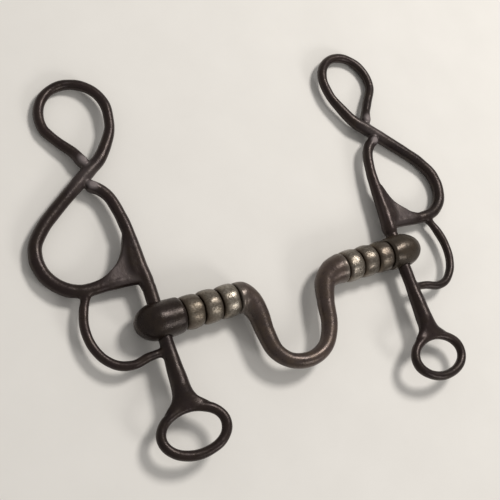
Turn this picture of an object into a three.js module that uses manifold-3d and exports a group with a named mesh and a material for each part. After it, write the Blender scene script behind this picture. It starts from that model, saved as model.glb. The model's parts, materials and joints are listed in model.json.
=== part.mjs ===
// Loose-cheek curb bit with a roller mouth, a high port and figure-eight shanks, lying flat.
// Millimetres. X runs along the mouthpiece, Y toward the rein end of the cheeks, Z up from the table.
import * as THREE from 'three';
import { mergeVertices } from 'three/addons/utils/BufferGeometryUtils.js';
import Module from 'manifold-3d';

const wasm = await Module();
wasm.setup();

// Clearances
const weldGap = 0.3;
const runningGap = 0.3;

// Mouthpiece: across the horse's mouth, between the two rod axes
const cheekSpacing = 136;
const mouthSkew = THREE.MathUtils.degToRad(2.5);
const mouthShift = 1.4;
const journalRadius = 4.4;
const canonRadius = 7.4;
const portHalfWidth = 20.8;
const portDepth = 37.4;
const portBarRadius = 4.4;
const portTipRadius = 3.7;

// Rollers: three on each side
const rollerCount = 3;
const rollerWidth = 9;
const rollerRadius = 8;
const rollerEdgeRadius = 6.9;
const rollerSideGap = 0.35;

// Bosses: the reach is from the rod axis, inward to the rollers and outward to the dome
const bossRadius = 8.7;
const bossFaceRadius = 8.2;
const bossReach = {
  left: { inner: 10.5, outer: 12.5 },
  right: { inner: 7.5, outer: 13.5 },
};
const tenonWall = 1.5;

// Cheek rod, in the plane of the cheek: u outward from the rod axis, v toward the rein end
const pivotRadius = 3.2;
const pivotTop = 13.5;
const pivotBottom = -13;
const shoulderRadius = 4.4;
const rodNeckRadius = 2.35;
const rodFootRadius = 4.5;
const crossing = { u: 13.7, v: 72 };
const crossingAngle = THREE.MathUtils.degToRad(-38);
const knobRadius = 2.6;

// Headstall ring below the mouthpiece
const eyeCentre = -52;
const eyeHalfWidth = 15;
const eyeHalfHeight = 10.2;
const eyeBarRadius = 2.3;

// Rein scroll: small loop, diagonal and big loop in one bar
const smallLoopCentre = { u: 9.6, v: 103.2 };
const smallLoopBar = 2.45;
const diagonalBar = 3.0;
const bigLoopCentre = { u: 26.2, v: 38 };
const bigLoopBar = 3.2;
const scrollFootBar = 3.1;
const scrollFootHeight = 20.5;
// The smith bent the two cheeks by eye, so their loops differ a little.
const loopRadii = {
  left: { small: 16.2, big: 18.5 },
  right: { small: 15.3, big: 17.6 },
};

// Bow and gusset
const bowBar = 2.15;
const bowReach = 32.8;
const bowFootHeight = -15.4;
const gussetThickness = 4.75;
const gussetTop = 41;
const gussetTip = 24;

// A station is [u, v, half width in the plane, half depth across it].
const station = (u, v, halfWidth, halfDepth = halfWidth) => [u, v, halfWidth, halfDepth];

// Stations along a round stretch, from one angle to another in degrees
function arc(centre, radius, from, to, halfWidth, count) {
  const stations = [];
  for (let i = 0; i <= count; i += 1) {
    const angle = THREE.MathUtils.degToRad(from + ((to - from) * i) / count);
    const u = centre.u + radius * Math.cos(angle);
    const v = centre.v + radius * Math.sin(angle);
    stations.push(station(u, v, halfWidth));
  }
  return stations;
}

// More stations between the given ones, on a smooth curve through them
function smooth(stations, perSpan) {
  const centres = stations.map(([u, v]) => new THREE.Vector3(u, v, 0));
  const curve = new THREE.CatmullRomCurve3(centres, false, 'centripetal');
  const last = stations.length - 1;
  const result = [];
  for (let i = 0; i <= last * perSpan; i += 1) {
    const at = i / perSpan;
    const index = Math.min(Math.floor(at), last - 1);
    const blend = at - index;
    const point = curve.getPoint(at / last);
    const width = THREE.MathUtils.lerp(stations[index][2], stations[index + 1][2], blend);
    const depth = THREE.MathUtils.lerp(stations[index][3], stations[index + 1][3], blend);
    result.push(station(point.x, point.y, width, depth));
  }
  return result;
}

// Stations that round off the end of a bar like a dome
function knobEnd(centre, direction, radius, count) {
  const stations = [];
  for (let i = 1; i <= count; i += 1) {
    const angle = (Math.PI / 2) * (i / (count + 0.4));
    const reach = radius * Math.sin(angle);
    const size = radius * Math.cos(angle);
    stations.push(station(centre.u + direction.x * reach, centre.v + direction.y * reach, size));
  }
  return stations;
}

// A bar with rings of points at its stations, closed on itself or capped at both ends
function forgedBar(stations, sides, closed = false) {
  const count = stations.length;
  const positions = [];
  const indices = [];
  for (let i = 0; i < count; i += 1) {
    const before = stations[closed ? (i + count - 1) % count : Math.max(i - 1, 0)];
    const after = stations[closed ? (i + 1) % count : Math.min(i + 1, count - 1)];
    const [u, v, halfWidth, halfDepth] = stations[i];
    const along = new THREE.Vector2(after[0] - before[0], after[1] - before[1]).normalize();
    for (let side = 0; side < sides; side += 1) {
      const turn = (2 * Math.PI * (side + 0.5)) / sides;
      const across = halfWidth * Math.cos(turn);
      positions.push(u + along.y * across, v - along.x * across, halfDepth * Math.sin(turn));
    }
  }
  const rings = closed ? count : count - 1;
  for (let i = 0; i < rings; i += 1) {
    for (let side = 0; side < sides; side += 1) {
      const a = i * sides + side;
      const b = i * sides + ((side + 1) % sides);
      const c = ((i + 1) % count) * sides + side;
      const d = ((i + 1) % count) * sides + ((side + 1) % sides);
      indices.push(a, b, c, b, d, c);
    }
  }
  if (!closed) {
    for (let side = 1; side < sides - 1; side += 1) {
      const end = (count - 1) * sides;
      indices.push(0, side + 1, side);
      indices.push(end, end + side, end + side + 1);
    }
  }
  const geometry = new THREE.BufferGeometry();
  geometry.setAttribute('position', new THREE.Float32BufferAttribute(positions, 3));
  geometry.setIndex(indices);
  return outwardFacing(geometry);
}

// Signed volume tells which way the faces point, so an inside-out mesh is turned over.
function outwardFacing(geometry) {
  const position = geometry.getAttribute('position');
  const index = geometry.getIndex().array;
  const [a, b, c] = [new THREE.Vector3(), new THREE.Vector3(), new THREE.Vector3()];
  let volume = 0;
  for (let i = 0; i < index.length; i += 3) {
    a.fromBufferAttribute(position, index[i]);
    b.fromBufferAttribute(position, index[i + 1]);
    c.fromBufferAttribute(position, index[i + 2]);
    volume += a.dot(b.cross(c));
  }
  if (volume < 0) {
    for (let i = 0; i < index.length; i += 3) {
      [index[i + 1], index[i + 2]] = [index[i + 2], index[i + 1]];
    }
  }
  return geometry;
}

function toSolid(geometry) {
  const bare = geometry.clone();
  bare.deleteAttribute('normal');
  bare.deleteAttribute('uv');
  const merged = mergeVertices(bare, 1e-5);
  const vertProperties = new Float32Array(merged.getAttribute('position').array);
  const triVerts = new Uint32Array(merged.getIndex().array);
  return new wasm.Manifold(new wasm.Mesh({ numProp: 3, vertProperties, triVerts }));
}

function toGeometry(solid) {
  const mesh = solid.getMesh();
  const geometry = new THREE.BufferGeometry();
  geometry.setAttribute('position', new THREE.BufferAttribute(new Float32Array(mesh.vertProperties), 3));
  geometry.setIndex(new THREE.BufferAttribute(new Uint32Array(mesh.triVerts), 1));
  geometry.computeVertexNormals();
  return geometry;
}

// The left cheek is the mirror image of the right one.
function mirrored(geometry) {
  const copy = geometry.clone().applyMatrix4(new THREE.Matrix4().makeScale(-1, 1, 1));
  const index = copy.getIndex().array;
  for (let i = 0; i < index.length; i += 3) {
    [index[i + 1], index[i + 2]] = [index[i + 2], index[i + 1]];
  }
  copy.computeVertexNormals();
  return copy;
}

// Where the bars of the figure eight cross: a point beside the diagonal, at a distance from its edge
const alongDiagonal = new THREE.Vector2(Math.cos(crossingAngle), Math.sin(crossingAngle));
function besideDiagonal(along, side) {
  const across = side * (diagonalBar + weldGap + knobRadius);
  const u = crossing.u + alongDiagonal.x * along - alongDiagonal.y * across;
  const v = crossing.v + alongDiagonal.y * along + alongDiagonal.x * across;
  return { u, v };
}

// Rod stations with an allowance all round, so that its neighbours can be cut clear of it
function rodStations(allowance) {
  const knob = besideDiagonal(1.6, -1);
  const foot = eyeCentre + eyeHalfHeight;
  const lower = smooth([
    station(0, foot, eyeHalfWidth * 0.7, eyeBarRadius),
    station(0, foot + 2, eyeHalfWidth * 0.56, 2.6),
    station(0, foot + 4, eyeHalfWidth * 0.41, 3.2),
    station(0, foot + 6.5, rodFootRadius + 0.4, 3.8),
    station(0, foot + 10, rodFootRadius - 0.2),
    station(0, foot + 21, (rodFootRadius + pivotRadius) / 2 - 0.2),
    station(0, pivotBottom, pivotRadius),
  ], 2);
  const shoulder = [
    station(0, pivotTop, pivotRadius),
    station(0, pivotTop + 0.3, shoulderRadius - 0.4),
    station(0, pivotTop + 1, shoulderRadius),
  ];
  const upper = smooth([
    station(0, pivotTop + 6.5, shoulderRadius),
    station(0.5, 30, 3.8),
    station(1.7, 40, 3.2),
    station(3, 50, 2.65),
    station(4.8, 59, rodNeckRadius),
    station(6.4, 63.4, rodNeckRadius),
    station(knob.u - 2.6, knob.v - 1.5, rodNeckRadius),
    station(knob.u, knob.v, knobRadius),
  ], 3);
  const end = knobEnd(knob, new THREE.Vector2(0.85, 0.53), knobRadius, 3);
  const all = [...lower, ...shoulder, ...upper, ...end];
  return all.map(([u, v, width, depth]) => station(u, v, width + allowance, depth + allowance));
}

function eyeRing() {
  const stations = [];
  const steps = 28;
  for (let i = 0; i < steps; i += 1) {
    const angle = (2 * Math.PI * i) / steps;
    stations.push(station(eyeHalfWidth * Math.cos(angle), eyeCentre + eyeHalfHeight * Math.sin(angle), eyeBarRadius));
  }
  return forgedBar(stations, 10, true);
}

function cheekRod() {
  return toSolid(forgedBar(rodStations(0), 12)).add(toSolid(eyeRing()));
}

// Scroll stations, from the knob over the small loop, down the diagonal and round the big loop
function scrollStations({ small, big: bigRadius }, allowance) {
  const knob = besideDiagonal(-4.8, 1);
  const top = smallLoopCentre;
  const big = bigLoopCentre;
  const outer = big.u + bigRadius;
  const start = knobEnd(knob, new THREE.Vector2(-0.5, -0.86), knobRadius, 3).reverse();
  const onDiagonal = (along) => [
    crossing.u + alongDiagonal.x * along,
    crossing.v + alongDiagonal.y * along,
  ];
  const route = smooth([
    station(knob.u, knob.v, knobRadius),
    station(knob.u + 2.4, knob.v + 5, smallLoopBar),
    station(top.u + small * 0.64, top.v - small * 0.79, smallLoopBar),
    ...arc(top, small, -20, 190, smallLoopBar, 10),
    station(top.u - small * 0.91, top.v - small * 0.57, smallLoopBar),
    station(top.u - small * 0.71, top.v - small * 0.97, smallLoopBar + 0.1),
    station(...onDiagonal(-12), diagonalBar - 0.2),
    station(...onDiagonal(-4), diagonalBar),
    station(...onDiagonal(5), diagonalBar),
    station(outer - 16.9, big.v + 22.9, diagonalBar + 0.05),
    station(outer - 6.8, big.v + 13.9, diagonalBar + 0.1),
    station(outer - 1.4, big.v + 6.6, bigLoopBar - 0.05),
    ...arc(big, bigRadius, 0, -84, bigLoopBar, 6).map(([u, v, width], i) => (
      station(u, v, THREE.MathUtils.lerp(width, scrollFootBar, i / 6))
    )),
    station(20, scrollFootHeight - 0.6, scrollFootBar),
    station(12, scrollFootHeight, scrollFootBar),
    station(1, scrollFootHeight, scrollFootBar),
  ], 3);
  return [...start, ...route].map(([u, v, width, depth]) => (
    station(u, v, width + allowance, depth + allowance)
  ));
}

function reinScroll(radii) {
  const bar = toSolid(forgedBar(scrollStations(radii, 0), 10));
  return bar.subtract(toSolid(forgedBar(rodStations(weldGap), 12)));
}

// Flat web in the corner between the rod and the foot of the scroll
function gusset(radii) {
  const outline = new THREE.Shape();
  outline.moveTo(0, scrollFootHeight);
  outline.lineTo(gussetTip, scrollFootHeight);
  outline.lineTo(gussetTip, scrollFootHeight + scrollFootBar - 1.2);
  outline.quadraticCurveTo(8.5, 24.5, 5, gussetTop);
  outline.lineTo(0, gussetTop);
  outline.closePath();
  const plate = new THREE.ExtrudeGeometry(outline, {
    depth: gussetThickness,
    bevelEnabled: false,
    curveSegments: 12,
  });
  plate.translate(0, 0, -gussetThickness / 2);
  plate.deleteAttribute('normal');
  plate.deleteAttribute('uv');
  return largestPiece(toSolid(outwardFacing(mergeVertices(plate, 1e-5)))
    .subtract(toSolid(forgedBar(rodStations(weldGap), 12)))
    .subtract(toSolid(forgedBar(scrollStations(radii, weldGap), 10))));
}

// A cut can leave chips on the far side of the neighbour, which the smith would have filed off.
function largestPiece(solid) {
  const pieces = solid.decompose();
  pieces.sort((a, b) => b.volume() - a.volume());
  return pieces[0];
}

function bow(radii) {
  const route = smooth([
    station(bigLoopCentre.u + 0.6, bigLoopCentre.v - radii.big, bowBar),
    station(bowReach - 1.8, 11.5, bowBar),
    station(bowReach, 3, bowBar),
    station(bowReach - 0.8, bowFootHeight + 10.8, bowBar),
    station(bowReach - 4, bowFootHeight + 4.2, bowBar),
    station(bowReach - 9.5, bowFootHeight - 0.7, bowBar),
    station(bowReach / 2, bowFootHeight - 2.1, bowBar),
    station(9.5, bowFootHeight - 0.6, bowBar),
    station(0, bowFootHeight, bowBar),
  ], 3);
  return largestPiece(toSolid(forgedBar(route, 8))
    .subtract(toSolid(forgedBar(rodStations(weldGap), 12)))
    .subtract(toSolid(forgedBar(scrollStations(radii, weldGap), 10))));
}

// Places along the mouthpiece axis, measured from its middle
const boreOffset = cheekSpacing / 2 / Math.cos(mouthSkew);
const stackLength = rollerCount * rollerWidth + (rollerCount + 1) * rollerSideGap;
const boreRadius = pivotRadius + runningGap;
const sides = {
  left: { sign: -1, face: boreOffset - bossReach.left.inner },
  right: { sign: 1, face: boreOffset - bossReach.right.inner },
};
for (const [name, side] of Object.entries(sides)) {
  side.shoulder = side.face - stackLength;
  side.tenonEnd = boreOffset - boreRadius - tenonWall;
  side.reach = bossReach[name];
}

// Straight journals for the rollers, thick canons beside them and the port between
function portBar() {
  const { left, right } = sides;
  const half = portHalfWidth;
  const deep = portDepth;
  const port = smooth([
    station(-left.shoulder + 0.6, 0, canonRadius),
    station(-left.shoulder + 3, -0.1, canonRadius - 0.1),
    station(-half - 2.3, -deep * 0.075, canonRadius - 1.2),
    station(-half, -deep * 0.26, portBarRadius + 0.7),
    station(-half, -deep * 0.5, portBarRadius),
    station(-half * 0.93, -deep * 0.77, portBarRadius - 0.4),
    station(-half * 0.64, -deep * 0.94, portTipRadius),
    station(-half * 0.14, -deep, portTipRadius),
    station(half * 0.33, -deep * 0.9, portTipRadius),
    station(half * 0.63, -deep * 0.66, portBarRadius - 0.4),
    station(half * 0.77, -deep * 0.36, portBarRadius - 0.1),
    station(half * 0.96, -deep * 0.12, portBarRadius + 0.9),
    station(half + 5, -deep * 0.022, canonRadius - 0.7),
    station(right.shoulder - 1.5, 0, canonRadius),
    station(right.shoulder - 0.6, 0, canonRadius),
  ], 3);
  const route = [
    station(-left.tenonEnd, 0, journalRadius),
    station(-left.shoulder, 0, journalRadius),
    station(-left.shoulder + 0.05, 0, canonRadius - 0.6),
    ...port,
    station(right.shoulder - 0.05, 0, canonRadius - 0.6),
    station(right.shoulder, 0, journalRadius),
    station(right.tenonEnd, 0, journalRadius),
  ];
  return toSolid(forgedBar(route, 16));
}

// Egg-shaped boss turned about the mouthpiece axis, cut for the rod and for the journal's end
function boss({ sign, reach }) {
  const profile = [
    new THREE.Vector2(0, -reach.inner),
    new THREE.Vector2(bossFaceRadius - 0.5, -reach.inner),
    new THREE.Vector2(bossFaceRadius, -reach.inner + 0.6),
    new THREE.Vector2((bossFaceRadius + bossRadius) / 2 + 0.1, -reach.inner / 2),
    new THREE.Vector2(bossRadius, 0),
  ];
  const domeStart = 3;
  const domeSteps = 7;
  for (let i = 0; i <= domeSteps; i += 1) {
    const angle = (Math.PI / 2) * (i / domeSteps);
    const radius = i === domeSteps ? 0 : bossRadius * Math.cos(angle);
    profile.push(new THREE.Vector2(radius, domeStart + (reach.outer - domeStart) * Math.sin(angle)));
  }
  const turned = new THREE.LatheGeometry(profile, 24);
  turned.rotateZ(-sign * Math.PI / 2);
  const rodBore = new THREE.CylinderGeometry(boreRadius, boreRadius, bossRadius * 3, 24);
  rodBore.rotateZ(-mouthSkew);
  const socketEnd = boreRadius + tenonWall - runningGap;
  const socketLength = reach.inner - socketEnd + 2;
  const socket = new THREE.CylinderGeometry(journalRadius + weldGap, journalRadius + weldGap, socketLength, 24);
  socket.rotateZ(Math.PI / 2);
  socket.translate(-sign * (socketEnd + socketLength / 2), 0, 0);
  return toSolid(outwardFacing(indexed(turned)))
    .subtract(toSolid(indexed(rodBore)))
    .subtract(toSolid(indexed(socket)));
}

function indexed(geometry) {
  const bare = geometry.clone();
  bare.deleteAttribute('normal');
  bare.deleteAttribute('uv');
  return withoutSlivers(mergeVertices(bare, 1e-5));
}

// Faces whose corners were merged at the pole of a revolve have no area and are dropped.
function withoutSlivers(geometry) {
  const index = geometry.getIndex().array;
  const kept = [];
  for (let i = 0; i < index.length; i += 3) {
    const [a, b, c] = [index[i], index[i + 1], index[i + 2]];
    if (a !== b && b !== c && c !== a) {
      kept.push(a, b, c);
    }
  }
  geometry.setIndex(kept);
  return geometry;
}

// Bulged ring with a bore that runs loose on the journal
function roller() {
  const bore = journalRadius + runningGap;
  const half = rollerWidth / 2;
  const profile = [new THREE.Vector2(bore, -half)];
  const steps = 6;
  for (let i = 0; i <= steps; i += 1) {
    const angle = Math.PI * (i / steps);
    const radius = rollerEdgeRadius + (rollerRadius - rollerEdgeRadius) * Math.sin(angle);
    profile.push(new THREE.Vector2(radius, -half * Math.cos(angle)));
  }
  profile.push(new THREE.Vector2(bore, half));
  profile.push(new THREE.Vector2(bore, -half));
  const ring = new THREE.LatheGeometry(profile, 20);
  ring.rotateZ(Math.PI / 2);
  return toSolid(outwardFacing(indexed(ring)));
}

// Lying on the table the bit rests on its bosses and on the undersides of the small and big loops.
// Both loops touch the table when the drops of their centres, rings and bars add up to the boss radius.
function restAngles({ small, big }) {
  const spread = smallLoopCentre.v * bigLoopCentre.u - bigLoopCentre.v * smallLoopCentre.u;
  const rest = { pitch: 0, droop: 0 };
  for (let pass = 0; pass < 12; pass += 1) {
    const slope = Math.hypot(Math.sin(rest.pitch), Math.sin(rest.droop));
    const smallDrop = bossRadius - smallLoopBar - small * slope;
    const bigDrop = bossRadius - bigLoopBar - big * slope;
    rest.pitch = Math.asin((smallDrop * bigLoopCentre.u - bigDrop * smallLoopCentre.u) / spread);
    rest.droop = Math.asin((bigDrop * smallLoopCentre.v - smallDrop * bigLoopCentre.v) / spread);
  }
  return rest;
}
const { pitch, droop } = restAngles(loopRadii.left);

function forged(name, geometry, colour, roughness) {
  const material = new THREE.MeshStandardMaterial({ color: colour, roughness, metalness: 0.9 });
  const mesh = new THREE.Mesh(geometry, material);
  mesh.name = name;
  return mesh;
}

const group = new THREE.Group();
const bit = new THREE.Group();
bit.rotation.x = -pitch;
group.add(bit);

const mouthpiece = new THREE.Group();
mouthpiece.position.y = mouthShift;
mouthpiece.rotation.z = mouthSkew;
mouthpiece.add(forged('port_bar', toGeometry(portBar()), 0x3a2c2b, 0.5));
for (const [name, side] of Object.entries(sides)) {
  const cast = forged(`${name}_boss`, toGeometry(boss(side)), 0x352827, 0.45);
  cast.position.x = side.sign * boreOffset;
  mouthpiece.add(cast);
  for (let i = 0; i < rollerCount; i += 1) {
    const ring = forged(`${name}_roller_${i + 1}`, toGeometry(roller()), 0x5a4f40, 0.4);
    const inward = rollerSideGap + rollerWidth / 2 + i * (rollerWidth + rollerSideGap);
    ring.position.x = side.sign * (side.face - inward);
    mouthpiece.add(ring);
  }
}
bit.add(mouthpiece);

const cheekPieces = {
  cheek_rod: { shape: cheekRod, colour: 0x332625, roughness: 0.5 },
  rein_scroll: { shape: reinScroll, colour: 0x30242a, roughness: 0.45 },
  gusset: { shape: gusset, colour: 0x4c4240, roughness: 0.7 },
  bow: { shape: bow, colour: 0x2e2224, roughness: 0.45 },
};
for (const [name, side] of Object.entries(sides)) {
  const cheek = new THREE.Group();
  cheek.position.x = (side.sign * cheekSpacing) / 2;
  cheek.rotation.y = side.sign * droop;
  for (const [piece, { shape, colour, roughness }] of Object.entries(cheekPieces)) {
    const geometry = toGeometry(shape(loopRadii[name]));
    cheek.add(forged(`${name}_${piece}`, side.sign > 0 ? geometry : mirrored(geometry), colour, roughness));
  }
  bit.add(cheek);
}

// The origin lies on the table, under the middle of the bit.
group.updateMatrixWorld(true);
const extent = new THREE.Box3().setFromObject(group, true);
const middle = extent.getCenter(new THREE.Vector3());
group.position.set(-middle.x, -middle.y, -extent.min.z);
group.updateMatrixWorld(true);

export default group;
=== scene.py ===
"""A hand-forged curb bit on a pale table: loose cheeks, rollers, a high port and figure-eight shanks."""
import json
import math

import bmesh
import bpy
import numpy as np
from mathutils import Matrix, Vector, noise


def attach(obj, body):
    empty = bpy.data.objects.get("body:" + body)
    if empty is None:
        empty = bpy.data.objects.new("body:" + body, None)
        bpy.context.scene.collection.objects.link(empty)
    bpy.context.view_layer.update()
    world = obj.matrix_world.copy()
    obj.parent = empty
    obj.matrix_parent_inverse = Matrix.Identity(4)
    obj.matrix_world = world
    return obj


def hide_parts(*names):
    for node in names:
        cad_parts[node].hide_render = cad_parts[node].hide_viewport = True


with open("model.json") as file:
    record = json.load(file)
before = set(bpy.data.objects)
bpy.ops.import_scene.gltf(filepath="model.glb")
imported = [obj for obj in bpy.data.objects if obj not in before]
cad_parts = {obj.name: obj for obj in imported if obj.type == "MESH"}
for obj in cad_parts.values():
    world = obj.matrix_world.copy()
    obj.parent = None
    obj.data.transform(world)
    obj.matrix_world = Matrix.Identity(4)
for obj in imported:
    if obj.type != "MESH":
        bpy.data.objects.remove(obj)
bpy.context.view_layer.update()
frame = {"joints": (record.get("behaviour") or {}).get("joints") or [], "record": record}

# Sizes in millimetres, in the plane of a cheek: u outward from the rod axis, v toward the rein end.
# Bars are given by half their width.
MM = 0.001
PIVOT_RADIUS = 3.2
PIVOT_TOP = 13.5
PIVOT_BOTTOM = -13.0
ROD_NECK = 2.7
ROD_FOOT = 4.5
CROSSING = np.array([13.7, 72.0])
CROSSING_ANGLE = math.radians(-38)
KNOB = 2.8
KNOB_DEPTH = 3.9
KNOB_FACE = 3.2
EYE_CENTRE = -52.0
EYE_WIDTH = 15.0
EYE_HEIGHT = 10.2
EYE_BAR = 2.3
SMALL_CENTRE = (9.6, 103.2)
SMALL_BAR = 2.45
DIAGONAL_BAR = 3.35
BIG_CENTRE = (26.2, 38.0)
BIG_BAR = 3.2
SCROLL_FOOT = 3.1
SCROLL_FOOT_DEPTH = 2.6
SCROLL_FOOT_HEIGHT = 20.5
LOOP_RADII = {"left": (16.2, 18.5), "right": (15.3, 17.6)}
SHOULDER_SWELL = {"left": 0.0, "right": 0.7}
BOW_BAR = 2.15
BOW_REACH = 32.8
BOW_FOOT = -15.4
GUSSET_THICKNESS = 4.75
GUSSET_TOP = 41.0
GUSSET_TIP = 24.0

# Mouthpiece, along its own axis from the middle between the bores
MOUTH_SHIFT = 1.4
JOURNAL = 4.4
CANON = 7.4
PORT_HALF = 20.8
PORT_DEPTH = 37.4
PORT_BAR = 4.4
PORT_TIP = 3.7
BOSS = 8.7
BOSS_FACE = 8.2
BOSS_REACH = {"left": (10.5, 12.5), "right": (7.5, 13.5)}
BORE = 3.5
TENON_WALL = 1.5
ROLLER_COUNT = 3
ROLLER_WIDTH = 9.0
ROLLER = 8.0
BEAD_EDGE = 6.0
ROLLER_GAP = 0.35
ROLLER_BORE = 4.7
SIGNS = {"left": -1, "right": 1}

# Egg shape of a boss
BOSS_CROWN = 1.0
BOSS_SHORTENED = 0.6
BOSS_CHAMFER = 0.8
BOSS_BODY_STEPS = 9
BOSS_DOME_STEPS = 25

# Depth and size of the hammer marks in millimetres, and the seeds of their noise
CHEEK_MARKS = (0.2, 7.0)
PORT_MARKS = (0.22, 11.0)
BOSS_MARKS = {"left": (0.16, 6.0), "right": (0.34, 6.0)}
ROLLER_MARKS = (0.26, 4.5)
CHEEK_SEED = 11
PORT_SEED = 3
BOSS_SEED = 21
ROLLER_SEED = 31
ROLLER_SEED_STEP = 5

# Grain of the welded skins in millimetres
CHEEK_VOXEL = 0.33
PORT_VOXEL = 0.4
BOSS_VOXEL = 0.3

# One pass that smooths and one that swells back, which takes out voxel steps and keeps the size
KEEP_SIZE = [0.5, -0.52]

joints = {joint["name"]: joint for joint in frame["joints"]}
mounts = {mount["name"]: mount for mount in frame["record"]["mounts"]}


class Place:
    """A local frame: turns (a, b, c) in millimetres into metres in the frame of the model."""

    def __init__(self, origin, first, second, third):
        self.origin = np.array(origin, float)
        self.axes = np.array([first, second, third], float)

    def out(self, points):
        return self.origin + (np.asarray(points, float) * MM) @ self.axes


def cheek_place(side):
    along = np.array(joints[f"{side}_cheek_swivel"]["axis"], float)
    up = np.array(mounts[f"{side}_gusset_face"]["axis"], float)
    outward = SIGNS[side] * np.cross(along, up)
    return Place(joints[f"{side}_cheek_swivel"]["pos_m"], outward, along, up)


def mouth_place():
    left = np.array(joints["left_cheek_swivel"]["pos_m"], float)
    right = np.array(joints["right_cheek_swivel"]["pos_m"], float)
    rods = np.array(joints["left_cheek_swivel"]["axis"], float)
    axis = np.array(joints["left_roller_1_spin"]["axis"], float)
    up = np.cross(axis, rods)
    up /= np.linalg.norm(up)
    origin = (left + right) / 2 + rods * MOUTH_SHIFT * MM
    return Place(origin, axis, np.cross(up, axis), up), np.linalg.norm(right - left) / 2 / MM / axis[0]


def station(u, v, width, depth=None):
    return (u, v, width, width if depth is None else depth)


def arc(centre, radius, start, end, width, count):
    angles = np.radians(np.linspace(start, end, count + 1))
    u, v = centre
    return [station(u + radius * math.cos(a), v + radius * math.sin(a), width) for a in angles]


def smooth(stations, per_span):
    """A centripetal Catmull-Rom curve through the stations."""
    points = np.array([s[:2] for s in stations], float)
    sizes = np.array([s[2:] for s in stations], float)
    result = []
    last = len(stations) - 1
    for i in range(last):
        p1, p2 = points[i], points[i + 1]
        p0 = points[i - 1] if i else 2 * p1 - p2
        p3 = points[i + 2] if i + 2 <= last else 2 * p2 - p1
        d0, d1, d2 = (max(np.sum((b - a) ** 2), 1e-8) ** 0.25 for a, b in ((p0, p1), (p1, p2), (p2, p3)))
        t1 = ((p1 - p0) / d0 - (p2 - p0) / (d0 + d1) + (p2 - p1) / d1) * d1
        t2 = ((p2 - p1) / d1 - (p3 - p1) / (d1 + d2) + (p3 - p2) / d2) * d1
        for k in range(per_span + (i == last - 1)):
            t = k / per_span
            square = -3 * p1 + 3 * p2 - 2 * t1 - t2
            cube = 2 * p1 - 2 * p2 + t1 + t2
            point = p1 + t1 * t + square * t * t + cube * t ** 3
            size = sizes[i] + (sizes[i + 1] - sizes[i]) * t
            result.append((*point, *size))
    return result


def knob_end(centre, direction, count):
    """The rounded end of a bar, upset by the hammer."""
    stations = []
    for i in range(1, count + 1):
        angle = math.pi / 2 * i / (count + 0.4)
        reach = KNOB * math.sin(angle)
        u = centre[0] + direction[0] * reach
        v = centre[1] + direction[1] * reach
        stations.append(station(u, v, KNOB * math.cos(angle), KNOB_DEPTH * math.cos(angle)))
    return stations


def loft(stations, sides, closed=False):
    """Rings of points at the stations, joined into a closed bar."""
    data = np.array(stations, float)
    count = len(data)
    centres = data[:, :2]
    if closed:
        along = np.roll(centres, -1, 0) - np.roll(centres, 1, 0)
    else:
        first, last = centres[1:2] - centres[:1], centres[-1:] - centres[-2:-1]
        along = np.vstack([first, centres[2:] - centres[:-2], last])
    along /= np.linalg.norm(along, axis=1)[:, None]
    turn = 2 * np.pi * (np.arange(sides) + 0.5) / sides
    across = data[:, 2:3] * np.cos(turn)
    u = centres[:, :1] + along[:, 1:2] * across
    v = centres[:, 1:2] - along[:, :1] * across
    w = data[:, 3:4] * np.sin(turn)
    points = np.stack([u, v, w], 2).reshape(-1, 3)
    faces = []
    for i in range(count if closed else count - 1):
        for k in range(sides):
            a, b = i * sides + k, i * sides + (k + 1) % sides
            c, d = ((i + 1) % count) * sides + k, ((i + 1) % count) * sides + (k + 1) % sides
            faces.append((a, b, d, c))
    if not closed:
        faces.append(tuple(range(sides - 1, -1, -1)))
        faces.append(tuple(range((count - 1) * sides, count * sides)))
    return points, faces


def revolve(profile, segments):
    """A profile of (along, radius) turned about the first axis and closed on itself."""
    count = len(profile)
    points, faces = [], []
    for k in range(segments):
        angle = 2 * math.pi * k / segments
        points += [(a, r * math.cos(angle), r * math.sin(angle)) for a, r in profile]
    for k in range(segments):
        after = (k + 1) % segments
        for i in range(count):
            j = (i + 1) % count
            faces.append((k * count + i, k * count + j, after * count + j, after * count + i))
    return np.array(points), faces


def new_object(name, shapes, place):
    """One mesh object from several (points, faces) shapes in a local frame."""
    points, faces, start = [], [], 0
    for shape_points, shape_faces in shapes:
        points.append(place.out(shape_points))
        faces += [tuple(start + i for i in face) for face in shape_faces]
        start += len(shape_points)
    mesh = bpy.data.meshes.new(name)
    mesh.from_pydata(np.vstack(points).tolist(), [], faces)
    work = bmesh.new()
    work.from_mesh(mesh)
    bmesh.ops.remove_doubles(work, verts=work.verts, dist=1e-7)
    bmesh.ops.recalc_face_normals(work, faces=work.faces)
    work.to_mesh(mesh)
    work.free()
    obj = bpy.data.objects.new(name, mesh)
    bpy.context.scene.collection.objects.link(obj)
    return obj


def settle(obj):
    """The object's mesh with its modifiers applied."""
    graph = bpy.context.evaluated_depsgraph_get()
    mesh = bpy.data.meshes.new_from_object(obj.evaluated_get(graph))
    obj.modifiers.clear()
    old, obj.data = obj.data, mesh
    bpy.data.meshes.remove(old)
    return obj


def weld(obj, voxel):
    """Overlapping bars become one skin."""
    modifier = obj.modifiers.new("weld", "REMESH")
    modifier.mode = "VOXEL"
    modifier.voxel_size = voxel * MM
    return settle(obj)


def coordinates(mesh):
    flat = np.empty(len(mesh.vertices) * 3)
    mesh.vertices.foreach_get("co", flat)
    return flat.reshape(-1, 3)


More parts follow.
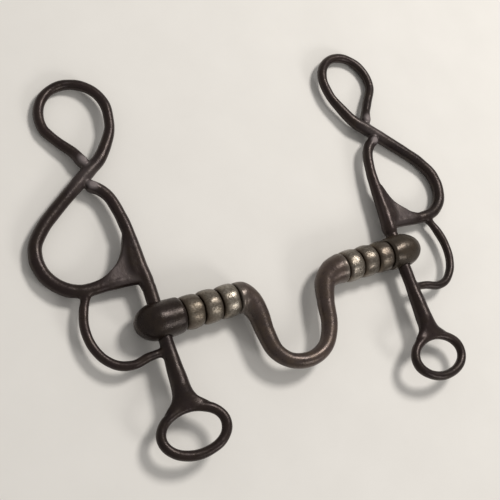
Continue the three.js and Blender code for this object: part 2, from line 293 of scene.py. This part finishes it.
def relax(obj, amounts):
    """Moves each vertex toward the mean of its neighbours, once for each array of weights."""
    mesh = obj.data
    points = coordinates(mesh)
    edges = np.empty(len(mesh.edges) * 2, np.int64)
    mesh.edges.foreach_get("vertices", edges)
    a, b = edges[::2], edges[1::2]
    count = np.bincount(a, minlength=len(points)) + np.bincount(b, minlength=len(points))
    for amount in amounts:
        mean = np.empty_like(points)
        for axis in range(3):
            mean[:, axis] = np.bincount(a, points[b, axis], len(points))
            mean[:, axis] += np.bincount(b, points[a, axis], len(points))
        mean /= count[:, None]
        points += (mean - points) * (amount if np.isscalar(amount) else amount[:, None])
    mesh.vertices.foreach_set("co", points.ravel())
    mesh.update()


def hammer(obj, depth, size, seed, share=1.0):
    """Shallow hammer marks as real displacement along the normals, by a share at each vertex."""
    mesh = obj.data
    points = coordinates(mesh)
    normals = np.empty(len(points) * 3)
    mesh.vertices.foreach_get("normal", normals)
    normals = normals.reshape(-1, 3)
    offset = Vector((seed * 3.1, seed * 1.7, seed * 2.3))
    lift = np.array([noise.noise(Vector(p) / (size * MM) + offset) for p in points])
    points += normals * (lift * share * depth * MM)[:, None]
    mesh.vertices.foreach_set("co", points.ravel())
    mesh.update()


def paint(obj, name, values):
    """A number at each vertex that the material reads."""
    layer = obj.data.attributes.new(name, "FLOAT", "POINT")
    layer.data.foreach_set("value", np.clip(values, 0, 1).astype(np.float32))


def finish_piece(obj, material, body, slot, *nodes):
    for polygon in obj.data.polygons:
        polygon.use_smooth = True
    obj.data.materials.clear()
    obj.data.materials.append(material)
    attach(obj, body)
    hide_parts(*nodes)


# Colours of the iron, linear
PIT = (0.009, 0.006, 0.005)
DRESSED = (0.200, 0.172, 0.174)
BARE = (0.200, 0.180, 0.155)
ROLLER_DARK = (0.056, 0.036, 0.026)
ROLLER_LIGHT = (0.090, 0.069, 0.046)
# Colour of the roller crowns: bare metal from wear, made lighter still as a painted highlight
ROLLER_WEAR_AND_SHEEN = (0.34, 0.31, 0.265)
ROLLER_PIT = (0.018, 0.013, 0.009)


class Graph:
    """A material as a shader graph, with short names for the nodes that the irons share."""

    def __init__(self, name):
        self.material = bpy.data.materials.new(name)
        self.material.use_nodes = True
        self.tree = self.material.node_tree
        self.shader = next(n for n in self.tree.nodes if n.type == "BSDF_PRINCIPLED")
        self.coordinates = self.node("ShaderNodeTexCoord").outputs["Object"]

    def node(self, kind, **settings):
        made = self.tree.nodes.new(kind)
        for key, value in settings.items():
            setattr(made, key, value)
        return made

    def link(self, source, target):
        self.tree.links.new(source, target)

    def noise(self, scale, detail=4.0, roughness=0.55):
        made = self.node("ShaderNodeTexNoise")
        made.inputs["Scale"].default_value = scale
        made.inputs["Detail"].default_value = detail
        made.inputs["Roughness"].default_value = roughness
        self.link(self.coordinates, made.inputs["Vector"])
        return made.outputs["Fac"]

    def attribute(self, name):
        return self.node("ShaderNodeAttribute", attribute_name=name).outputs["Fac"]

    def ramp(self, source, low, high, first=0.0, last=1.0):
        made = self.node("ShaderNodeMapRange")
        for key, value in (("From Min", low), ("From Max", high), ("To Min", first), ("To Max", last)):
            made.inputs[key].default_value = value
        self.link(source, made.inputs["Value"])
        return made.outputs["Result"]

    def mix(self, factor, first, second):
        made = self.node("ShaderNodeMix", data_type="RGBA")
        self.link(factor, made.inputs["Factor"])
        for value, socket in ((first, made.inputs[6]), (second, made.inputs[7])):
            if isinstance(value, tuple):
                socket.default_value = (*value, 1)
            else:
                self.link(value, socket)
        return made.outputs[2]

    def math(self, operation, first, second):
        made = self.node("ShaderNodeMath", operation=operation)
        for value, socket in ((first, made.inputs[0]), (second, made.inputs[1])):
            if isinstance(value, (int, float)):
                socket.default_value = value
            else:
                self.link(value, socket)
        return made.outputs["Value"]

    def bump(self, layers):
        """Layers of (height, distance in metres, strength), the broadest first."""
        normal = None
        for height, distance, strength in layers:
            made = self.node("ShaderNodeBump")
            made.inputs["Distance"].default_value = distance
            made.inputs["Strength"].default_value = strength
            self.link(height, made.inputs["Height"])
            if normal is not None:
                self.link(normal, made.inputs["Normal"])
            normal = made.outputs["Normal"]
        self.link(normal, self.shader.inputs["Normal"])


def forged_iron(name, tint, lightness=1.0, gloss=0.25):
    """Blackened wrought iron with rust-brown blotches, fine pits and dull grey where it was dressed."""
    g = Graph(name)
    broad = g.ramp(g.noise(45, 3), 0.36, 0.66)
    blotch = g.ramp(g.noise(210, 6, 0.62), 0.42, 0.68)
    speck = g.ramp(g.noise(1500, 3, 0.6), 0.56, 0.74)
    dark, light, rust = (value * lightness for value in (0.015, 0.026, 0.034))
    base = g.mix(broad, tuple(dark * c for c in tint), tuple(light * c for c in tint))
    base = g.mix(g.math("MULTIPLY", blotch, 0.45), base, (rust, rust * 0.69, rust * 0.42))
    base = g.mix(g.math("MULTIPLY", speck, 0.5), base, PIT)
    base = g.mix(g.attribute("dull"), base, DRESSED)
    base = g.mix(g.attribute("wear_and_sheen"), base, BARE)
    g.link(base, g.shader.inputs["Base Color"])
    g.shader.inputs["Metallic"].default_value = 0.4
    g.shader.inputs["Specular IOR Level"].default_value = 0.42
    g.shader.inputs["Specular Tint"].default_value = (1.0, 0.95, 0.93, 1)
    rough = g.ramp(g.noise(320, 5, 0.6), 0.3, 0.7, gloss, gloss + 0.17)
    rough = g.math("ADD", rough, g.math("MULTIPLY", g.attribute("dull"), 0.3))
    rough = g.math("SUBTRACT", rough, g.math("MULTIPLY", g.attribute("wear_and_sheen"), 0.06))
    g.link(rough, g.shader.inputs["Roughness"])
    waves, pits, grain = g.noise(130, 3), g.noise(700, 5, 0.6), g.noise(2600, 2)
    g.bump([(waves, 0.0006, 0.4), (pits, 0.00022, 0.5), (grain, 0.00006, 0.4)])
    return g.material


def worn_iron(name):
    """The rollers: dark iron with light spots on the crowns, partly bare metal from wear and partly a
    painted highlight, brown and dull in the grooves.
    """
    g = Graph(name)
    patch = g.ramp(g.noise(900, 6, 0.7), 0.38, 0.68, 0.3, 1.0)
    # The crown spots carry wear and a painted highlight together
    crown_wear_and_sheen = g.math("MULTIPLY", g.attribute("wear_and_sheen"), patch)
    base = g.mix(g.ramp(g.noise(90, 3), 0.35, 0.65), ROLLER_DARK, ROLLER_LIGHT)
    base = g.mix(crown_wear_and_sheen, base, ROLLER_WEAR_AND_SHEEN)
    base = g.mix(g.ramp(g.noise(1300, 3), 0.56, 0.70, 0.0, 0.45), base, ROLLER_PIT)
    g.link(base, g.shader.inputs["Base Color"])
    g.shader.inputs["Metallic"].default_value = 0.8
    rough = g.ramp(g.noise(380, 4), 0.3, 0.7, 0.27, 0.42)
    rough = g.math("SUBTRACT", rough, g.math("MULTIPLY", crown_wear_and_sheen, 0.08))
    g.link(rough, g.shader.inputs["Roughness"])
    waves, pits, grain = g.noise(160, 3), g.noise(650, 5, 0.65), g.noise(2400, 2)
    g.bump([(waves, 0.0006, 0.5), (pits, 0.00025, 0.7), (grain, 0.00006, 0.5)])
    return g.material


DIAGONAL = np.array([math.cos(CROSSING_ANGLE), math.sin(CROSSING_ANGLE)])


def beside_diagonal(along, across):
    """A point by its place along and beside the diagonal of the scroll."""
    return CROSSING + DIAGONAL * along + np.array([-DIAGONAL[1], DIAGONAL[0]]) * across


ROD_KNOB = beside_diagonal(1.5, -5.2)
SCROLL_KNOB = beside_diagonal(-5.7, 4.7)


def between(inner, outer, v):
    """A station from the two edges of a bar that runs along v."""
    return station((inner + outer) / 2, v, (outer - inner) / 2)


def rod_shape(side):
    swell = SHOULDER_SWELL[side]
    foot = EYE_CENTRE + EYE_HEIGHT
    lower = smooth([
        station(0, foot, EYE_WIDTH * 0.7, EYE_BAR),
        station(0, foot + 2, EYE_WIDTH * 0.56, 2.6),
        station(0, foot + 4, EYE_WIDTH * 0.41, 3.2),
        station(0, foot + 6.5, ROD_FOOT + 0.4, 3.8),
        station(0, foot + 10, ROD_FOOT - 0.2),
        station(0, foot + 21, (ROD_FOOT + PIVOT_RADIUS) / 2 - 0.2),
        station(0, PIVOT_BOTTOM, PIVOT_RADIUS),
    ], 8)
    upper = smooth([
        between(-PIVOT_RADIUS, PIVOT_RADIUS, PIVOT_TOP + 0.6),
        between(-3.0 - swell, 3.7, 15.8),
        between(-3.0 - swell, 4.0, 18),
        between(-2.8 - swell * 0.6, 4.4, 21),
        between(-2.4 - swell * 0.2, 4.8, 26),
        between(-2.0, 4.9, 32),
        between(-1.7, 4.7, 38),
        between(-1.1, 4.7, 44),
        between(-0.2, 5.2, 50),
        station(3.9, 56.5, ROD_NECK),
        station(5.7, 61.2, ROD_NECK),
        station(8.3, 64.6, ROD_NECK + 0.05, ROD_NECK + 0.2),
        station(*ROD_KNOB, KNOB, KNOB_DEPTH),
    ], 8)
    return loft([*lower, *upper, *knob_end(ROD_KNOB, (0.85, 0.53), 8)], 36)


def eye_shape():
    ring = []
    for angle in np.linspace(0, 2 * np.pi, 120, endpoint=False):
        u, v = EYE_WIDTH * math.cos(angle), EYE_CENTRE + EYE_HEIGHT * math.sin(angle)
        ring.append(station(u, v, EYE_BAR))
    return loft(ring, 28, closed=True)


def scroll_shape(side):
    small, big = LOOP_RADII[side]
    knob = SCROLL_KNOB
    top_u, top_v = SMALL_CENTRE
    big_u, big_v = BIG_CENTRE
    outer = big_u + big
    start = knob_end(knob, (-0.5, -0.86), 8)[::-1]
    spans = 12
    end_arc = arc(BIG_CENTRE, big, 0, -84, BIG_BAR, spans)
    for i, (u, v, _, _) in enumerate(end_arc):
        end_arc[i] = station(u, v, BIG_BAR + (SCROLL_FOOT - BIG_BAR) * i / spans)
    route = smooth([
        station(*knob, KNOB, KNOB_DEPTH),
        station(knob[0] + 1.3, knob[1] + 2.6, SMALL_BAR + 0.2, SMALL_BAR + 0.4),
        station(knob[0] + 3.0, knob[1] + 5.6, SMALL_BAR),
        station(top_u + small * 0.64, top_v - small * 0.79, SMALL_BAR),
        *arc(SMALL_CENTRE, small, -20, 190, SMALL_BAR, 20),
        station(top_u - small * 0.91, top_v - small * 0.57, SMALL_BAR),
        station(top_u - small * 0.71, top_v - small * 0.97, SMALL_BAR + 0.25),
        station(*(CROSSING - DIAGONAL * 12), DIAGONAL_BAR - 0.25),
        station(*(CROSSING - DIAGONAL * 4), DIAGONAL_BAR),
        station(*(CROSSING + DIAGONAL * 5), DIAGONAL_BAR),
        station(outer - 16.9, big_v + 22.9, DIAGONAL_BAR - 0.15),
        station(outer - 6.8, big_v + 13.9, DIAGONAL_BAR - 0.2),
        station(outer - 1.4, big_v + 6.6, BIG_BAR - 0.05),
        *end_arc,
        station(20, SCROLL_FOOT_HEIGHT - 0.6, SCROLL_FOOT, SCROLL_FOOT_DEPTH),
        station(12, SCROLL_FOOT_HEIGHT - 0.4, SCROLL_FOOT, SCROLL_FOOT_DEPTH),
        station(1, SCROLL_FOOT_HEIGHT - 0.9, SCROLL_FOOT, SCROLL_FOOT_DEPTH),
    ], 6)
    return loft([*start, *route], 36)


def gusset_outline():
    tip = np.array([GUSSET_TIP, SCROLL_FOOT_HEIGHT + SCROLL_FOOT - 1.2])
    bend = np.array([8.5, 24.5])
    top = np.array([5.0, GUSSET_TOP])
    t = np.linspace(0, 1, 25)[:, None]
    edge = (1 - t) ** 2 * tip + 2 * (1 - t) * t * bend + t ** 2 * top
    corners = [(0.0, GUSSET_TOP), (0.0, SCROLL_FOOT_HEIGHT), (GUSSET_TIP, SCROLL_FOOT_HEIGHT)]
    return np.vstack([edge, corners])


def gusset_shape():
    outline = gusset_outline()
    count = len(outline)
    half = GUSSET_THICKNESS / 2
    points = np.vstack([np.column_stack([outline, np.full(count, w)]) for w in (-half, half)])
    faces = [tuple(range(count - 1, -1, -1)), tuple(range(count, 2 * count))]
    faces += [(i, (i + 1) % count, count + (i + 1) % count, count + i) for i in range(count)]
    return points, faces


def corner_shape():
    """The hollow between rod and web, filled where the hammer drew the two together."""
    route = smooth([
        station(3.2, 19.5, 2.9, 2.9),
        station(4.0, 23.5, 4.4, 3.3),
        station(4.0, 28, 4.1, 3.35),
        station(3.8, 33, 3.3, 3.3),
        station(3.5, 38, 2.3, 2.9),
    ], 8)
    return loft(route, 28)


def bow_shape(side):
    big = LOOP_RADII[side][1]
    route = smooth([
        station(BIG_CENTRE[0] + 0.6, BIG_CENTRE[1] - big, BOW_BAR),
        station(BOW_REACH - 1.8, 11.5, BOW_BAR),
        station(BOW_REACH, 3, BOW_BAR),
        station(BOW_REACH - 0.8, BOW_FOOT + 10.8, BOW_BAR),
        station(BOW_REACH - 4, BOW_FOOT + 4.2, BOW_BAR),
        station(BOW_REACH - 9.5, BOW_FOOT - 0.7, BOW_BAR),
        station(BOW_REACH / 2, BOW_FOOT - 2.1, BOW_BAR),
        station(9.5, BOW_FOOT - 0.6, BOW_BAR),
        station(0, BOW_FOOT, BOW_BAR),
    ], 10)
    return loft(route, 32)


def near(local, centre, radius):
    """1 at a point in the cheek's plane, falling to 0 at the radius."""
    distance = np.hypot(local[:, 0] - centre[0], local[:, 1] - centre[1])
    return np.clip(1 - distance / radius, 0, 1)


def cheek(side, material, seed):
    """Rod, scroll, gusset and bow, forge-welded into one cheek."""
    place = cheek_place(side)
    shapes = [rod_shape(side), eye_shape(), scroll_shape(side)]
    shapes += [gusset_shape(), corner_shape(), bow_shape(side)]
    obj = weld(new_object(f"{side}_cheek_forging", shapes, place), CHEEK_VOXEL)
    local = (coordinates(obj.data) - place.origin) / MM @ place.axes.T
    # Centre and reach of each place where two bars flow into each other
    welds = [((4, 24), 9), ((5.5, 32), 7), ((5, 38), 8), ((20, 21), 7)]
    welds += [((4, BOW_FOOT), 7), ((29, 17), 7), ((0, -40), 9)]
    welds += [(ROD_KNOB + (0.9, 1.4), 3.6), (SCROLL_KNOB + (0.6, -1.6), 3.6)]
    fillet = np.max([near(local, centre, radius) for centre, radius in welds], axis=0)
    rounding = [0.6 * np.clip(fillet * 1.6, 0, 1)] * 36
    relax(obj, KEEP_SIZE * 4 + rounding + [0.4, -0.42] * 2)
    local = (coordinates(obj.data) - place.origin) / MM @ place.axes.T
    for knob in (ROD_KNOB, SCROLL_KNOB):
        head = (near(local, knob, KNOB + 0.5) > 0) & (local[:, 2] > KNOB_FACE)
        local[head, 2] = KNOB_FACE + (local[head, 2] - KNOB_FACE) * 0.3
    obj.data.vertices.foreach_set("co", place.out(local).ravel())
    obj.data.update()
    on_pivot = np.clip((PIVOT_TOP + 4 - np.abs(local[:, 1])) / 3, 0, 1) * (np.abs(local[:, 0]) < 6)
    hammer(obj, *CHEEK_MARKS, seed, 1 - on_pivot)
    web = np.clip(1 - np.abs(np.abs(local[:, 2]) - GUSSET_THICKNESS / 2) / 0.6, 0, 1)
    corner = np.clip(near(local, (8, 26), 13) * 2.5, 0, 1)
    heads = np.max([near(local, knob, KNOB * 1.4) for knob in (ROD_KNOB, SCROLL_KNOB)], axis=0)
    faces_up = np.clip((local[:, 2] - KNOB_FACE + 1.4) / 1.2, 0, 1)
    heads = np.clip(heads * 2, 0, 1) * faces_up * 0.9
    crossing = near(local, CROSSING, 13) * 0.2
    paint(obj, "dull", np.max([web * corner * 0.19, heads, crossing], axis=0))
    paint(obj, "wear_and_sheen", np.zeros(len(local)))
    nodes = [f"{side}_{part}" for part in ("cheek_rod", "rein_scroll", "gusset", "bow")]
    finish_piece(obj, material, f"{side}_cheek", "forged_iron", *nodes)


def port(place, shoulders, tenon_end, material):
    half, deep = PORT_HALF, PORT_DEPTH
    left, right = shoulders
    middle = smooth([
        station(-left + 0.6, 0, CANON),
        station(-left + 3, -0.1, CANON - 0.1),
        station(-half - 2.3, -deep * 0.075, CANON - 1.2),
        station(-half, -deep * 0.26, PORT_BAR + 0.7),
        station(-half, -deep * 0.5, PORT_BAR),
        station(-half * 0.93, -deep * 0.77, PORT_BAR - 0.4),
        station(-half * 0.64, -deep * 0.94, PORT_TIP),
        station(-half * 0.14, -deep, PORT_TIP),
        station(half * 0.33, -deep * 0.9, PORT_TIP),
        station(half * 0.63, -deep * 0.66, PORT_BAR - 0.4),
        station(half * 0.77, -deep * 0.36, PORT_BAR - 0.1),
        station(half * 0.96, -deep * 0.12, PORT_BAR + 0.9),
        station(half + 5, -deep * 0.022, CANON - 0.7),
        station(right - 1.5, 0, CANON),
        station(right - 0.6, 0, CANON),
    ], 12)
    route = [
        station(-tenon_end, 0, JOURNAL),
        station(-left - 0.02, 0, JOURNAL),
        station(-left, 0, CANON - 1.1),
        station(-left + 0.2, 0, CANON - 0.4),
        *middle,
        station(right - 0.2, 0, CANON - 0.4),
        station(right, 0, CANON - 1.1),
        station(right + 0.02, 0, JOURNAL),
        station(tenon_end, 0, JOURNAL),
    ]
    obj = weld(new_object("port_forging", [loft(route, 48)], place), PORT_VOXEL)
    relax(obj, KEEP_SIZE * 8)
    local = (coordinates(obj.data) - place.origin) / MM @ place.axes.T
    hammer(obj, *PORT_MARKS, PORT_SEED)
    left_end = np.clip((-local[:, 0] - left + 5) / 5, 0, 1)
    right_end = np.clip((local[:, 0] - right + 4) / 4, 0, 1)
    paint(obj, "wear_and_sheen", np.maximum(left_end, right_end) * 0.5)
    paint(obj, "dull", np.zeros(len(local)))
    finish_piece(obj, material, "mouthpiece", "forged_iron", "port_bar")


def boss(side, place, bore_offset, material, seed):
    """Egg-shaped boss, cut for the rod and the journal, with edges rounded by wear."""
    sign = SIGNS[side]
    inner, outer = BOSS_REACH[side]
    profile = [(-inner, 0), (-inner, BOSS_FACE - 0.7), (-inner + BOSS_CHAMFER, BOSS_FACE - 0.1)]
    for share in np.linspace(0.85, 0, BOSS_BODY_STEPS):
        along = BOSS_CROWN - (BOSS_CROWN + inner) * share
        profile.append((along, BOSS - (BOSS - BOSS_FACE) * share * share))
    for angle in np.linspace(0.06, math.pi / 2, BOSS_DOME_STEPS):
        along = BOSS_CROWN + (outer - BOSS_SHORTENED - BOSS_CROWN) * math.sin(angle)
        profile.append((along, BOSS * math.cos(angle)))
    points, faces = revolve(profile, 96)
    points[:, 0] = sign * (points[:, 0] + bore_offset)
    egg = new_object(f"{side}_boss_forging", [(points, faces)], place)
    rods = np.array(joints[f"{side}_cheek_swivel"]["axis"], float)
    rod_local = place.axes @ rods
    centre = np.array([sign * bore_offset, 0, 0])
    socket_end = BORE + TENON_WALL - 0.3
    cutters = [
        (centre - rod_local * 20, centre + rod_local * 20, BORE),
        (centre - [sign * socket_end, 0, 0], centre - [sign * 20, 0, 0], JOURNAL + 0.3),
    ]
    for start, end, radius in cutters:
        cutter = new_object("cutter", [cylinder(start, end, radius, 64)], place)
        modifier = egg.modifiers.new("cut", "BOOLEAN")
        modifier.operation = "DIFFERENCE"
        modifier.object = cutter
        modifier.solver = "EXACT"
        settle(egg)
        bpy.data.objects.remove(cutter)
    weld(egg, BOSS_VOXEL)
    relax(egg, KEEP_SIZE * 6)
    hammer(egg, *BOSS_MARKS[side], seed)
    for name in ("wear_and_sheen", "dull"):
        paint(egg, name, np.zeros(len(egg.data.vertices)))
    finish_piece(egg, material, "mouthpiece", "forged_iron", f"{side}_boss")


def cylinder(start, end, radius, sides):
    axis = (end - start) / np.linalg.norm(end - start)
    first = np.cross(axis, [0.3, 0.2, 1.0])
    first /= np.linalg.norm(first)
    second = np.cross(axis, first)
    angles = 2 * np.pi * np.arange(sides) / sides
    ring = radius * (np.outer(np.cos(angles), first) + np.outer(np.sin(angles), second))
    points = np.vstack([start + ring, end + ring])
    faces = [tuple(range(sides - 1, -1, -1)), tuple(range(sides, 2 * sides))]
    faces += [(i, (i + 1) % sides, sides + (i + 1) % sides, sides + i) for i in range(sides)]
    return points, faces


def roller(side, index, place, centre, material, seed):
    """A bulged ring, a little uneven as each was dressed by hand."""
    half = ROLLER_WIDTH / 2
    chamfer = 0.25
    profile = [(-half + chamfer, ROLLER_BORE), (-half, ROLLER_BORE + chamfer), (-half, BEAD_EDGE - 0.5)]
    for angle in np.linspace(0, math.pi, 31):
        radius = BEAD_EDGE + (ROLLER - BEAD_EDGE) * math.sin(angle) ** 0.62
        profile.append((-half * math.cos(angle) * 0.985, radius))
    profile += [(half, BEAD_EDGE - 0.5), (half, ROLLER_BORE + chamfer), (half - chamfer, ROLLER_BORE)]
    for along in np.linspace(half - 1, -half + 1, 7):
        profile.append((along, ROLLER_BORE))
    points, faces = revolve(profile, 96)
    points[:, 0] += centre
    obj = new_object(f"{side}_roller_{index}_ring", [(points, faces)], place)
    hammer(obj, *ROLLER_MARKS, seed)
    local = (coordinates(obj.data) - place.origin) / MM @ place.axes.T
    # The crown colour is wear and a painted highlight together, stronger on the rings nearer the port
    crown = (np.hypot(local[:, 1], local[:, 2]) - BEAD_EDGE - 0.8) / (ROLLER - BEAD_EDGE - 0.8)
    ring_wear_and_sheen = 0.4 + 0.6 * (index - 1) / (ROLLER_COUNT - 1)
    paint(obj, "wear_and_sheen", np.clip(crown, 0, 1) ** 1.5 * ring_wear_and_sheen)
    finish_piece(obj, material, f"{side}_roller_{index}", "worn_iron", f"{side}_roller_{index}")


iron = forged_iron("forged_iron", (1.0, 0.60, 0.57))
boss_iron = {
    "left": forged_iron("left_boss_iron", (1.0, 0.62, 0.52), 1.05, 0.22),
    "right": forged_iron("right_boss_iron", (0.95, 0.74, 0.54), 2.0, 0.22),
}
port_iron = forged_iron("port_iron", (1.0, 0.72, 0.64), 2.8, 0.23)
roller_iron_with_sheen = worn_iron("roller_iron")

for number, side_name in enumerate(SIGNS):
    cheek(side_name, iron, CHEEK_SEED + number)

mouth, bore_offset = mouth_place()
stack = ROLLER_COUNT * ROLLER_WIDTH + (ROLLER_COUNT + 1) * ROLLER_GAP
faces_at = {side_name: bore_offset - BOSS_REACH[side_name][0] for side_name in SIGNS}
canon_ends = (faces_at["left"] - stack, faces_at["right"] - stack)
port(mouth, canon_ends, bore_offset - BORE - TENON_WALL, port_iron)
for number, side_name in enumerate(SIGNS):
    boss(side_name, mouth, bore_offset, boss_iron[side_name], BOSS_SEED + number)
    for ring in range(ROLLER_COUNT):
        inward = ROLLER_GAP + ROLLER_WIDTH / 2 + ring * (ROLLER_WIDTH + ROLLER_GAP)
        centre = SIGNS[side_name] * (faces_at[side_name] - inward)
        seed = ROLLER_SEED + number * ROLLER_SEED_STEP + ring
        roller(side_name, ring + 1, mouth, centre, roller_iron_with_sheen, seed)


def pale_floor():
    """A plain table top that fills the view."""
    mesh = bpy.data.meshes.new("floor")
    reach = 3.0
    corners = [(-reach, -reach, 0), (reach, -reach, 0), (reach, reach, 0), (-reach, reach, 0)]
    mesh.from_pydata(corners, [], [(0, 1, 2, 3)])
    floor = bpy.data.objects.new("floor", mesh)
    bpy.context.scene.collection.objects.link(floor)
    g = Graph("pale_floor")
    grain = g.ramp(g.noise(30, 4), 0.3, 0.7)
    g.link(g.mix(grain, (0.80, 0.785, 0.755), (0.83, 0.815, 0.785)), g.shader.inputs["Base Color"])
    g.shader.inputs["Roughness"].default_value = 0.7
    g.shader.inputs["Specular IOR Level"].default_value = 0.2
    mesh.materials.append(g.material)


def lamp(name, position, power, size, colour):
    data = bpy.data.lights.new(name, "AREA")
    data.energy = power
    data.shape = "DISK"
    data.size = size
    data.color = colour
    obj = bpy.data.objects.new(name, data)
    obj.location = position
    obj.rotation_euler = (-Vector(position)).to_track_quat("-Z", "Y").to_euler()
    bpy.context.scene.collection.objects.link(obj)


def photo_camera():
    """The photograph's camera: 900 pixels of focal length in a frame of 500 pixels."""
    sensor = 36.0
    focal_pixels, frame_pixels = 900.0, 500.0
    data = bpy.data.cameras.new("camera")
    data.sensor_width = sensor
    data.lens = sensor * focal_pixels / frame_pixels
    data.clip_start = 0.01
    right = Vector((0.8677, -0.3067, 0.3912))
    up = Vector((0.1843, 0.9294, 0.3198))
    back = right.cross(up)
    turn = Matrix((right, up, back)).transposed().to_4x4()
    camera = bpy.data.objects.new("camera", data)
    position = (-0.21085, -0.09513, 0.37806)
    camera.matrix_world = Matrix.Translation(position) @ turn
    bpy.context.scene.collection.objects.link(camera)
    bpy.context.scene.camera = camera


pale_floor()
photo_camera()
lamp("key", (0.56, 0.35, 0.95), 8.1, 0.31, (1.0, 0.96, 0.91))
lamp("side", (0.42, -0.70, 0.50), 1.8, 0.30, (1.0, 0.97, 0.93))
world = bpy.data.worlds.new("studio")
world.use_nodes = True
background = next(n for n in world.node_tree.nodes if n.type == "BACKGROUND")
background.inputs["Color"].default_value = (1.0, 0.975, 0.945, 1)
background.inputs["Strength"].default_value = 0.36
bpy.context.scene.world = world
bpy.context.scene.view_settings.view_transform = "Standard"
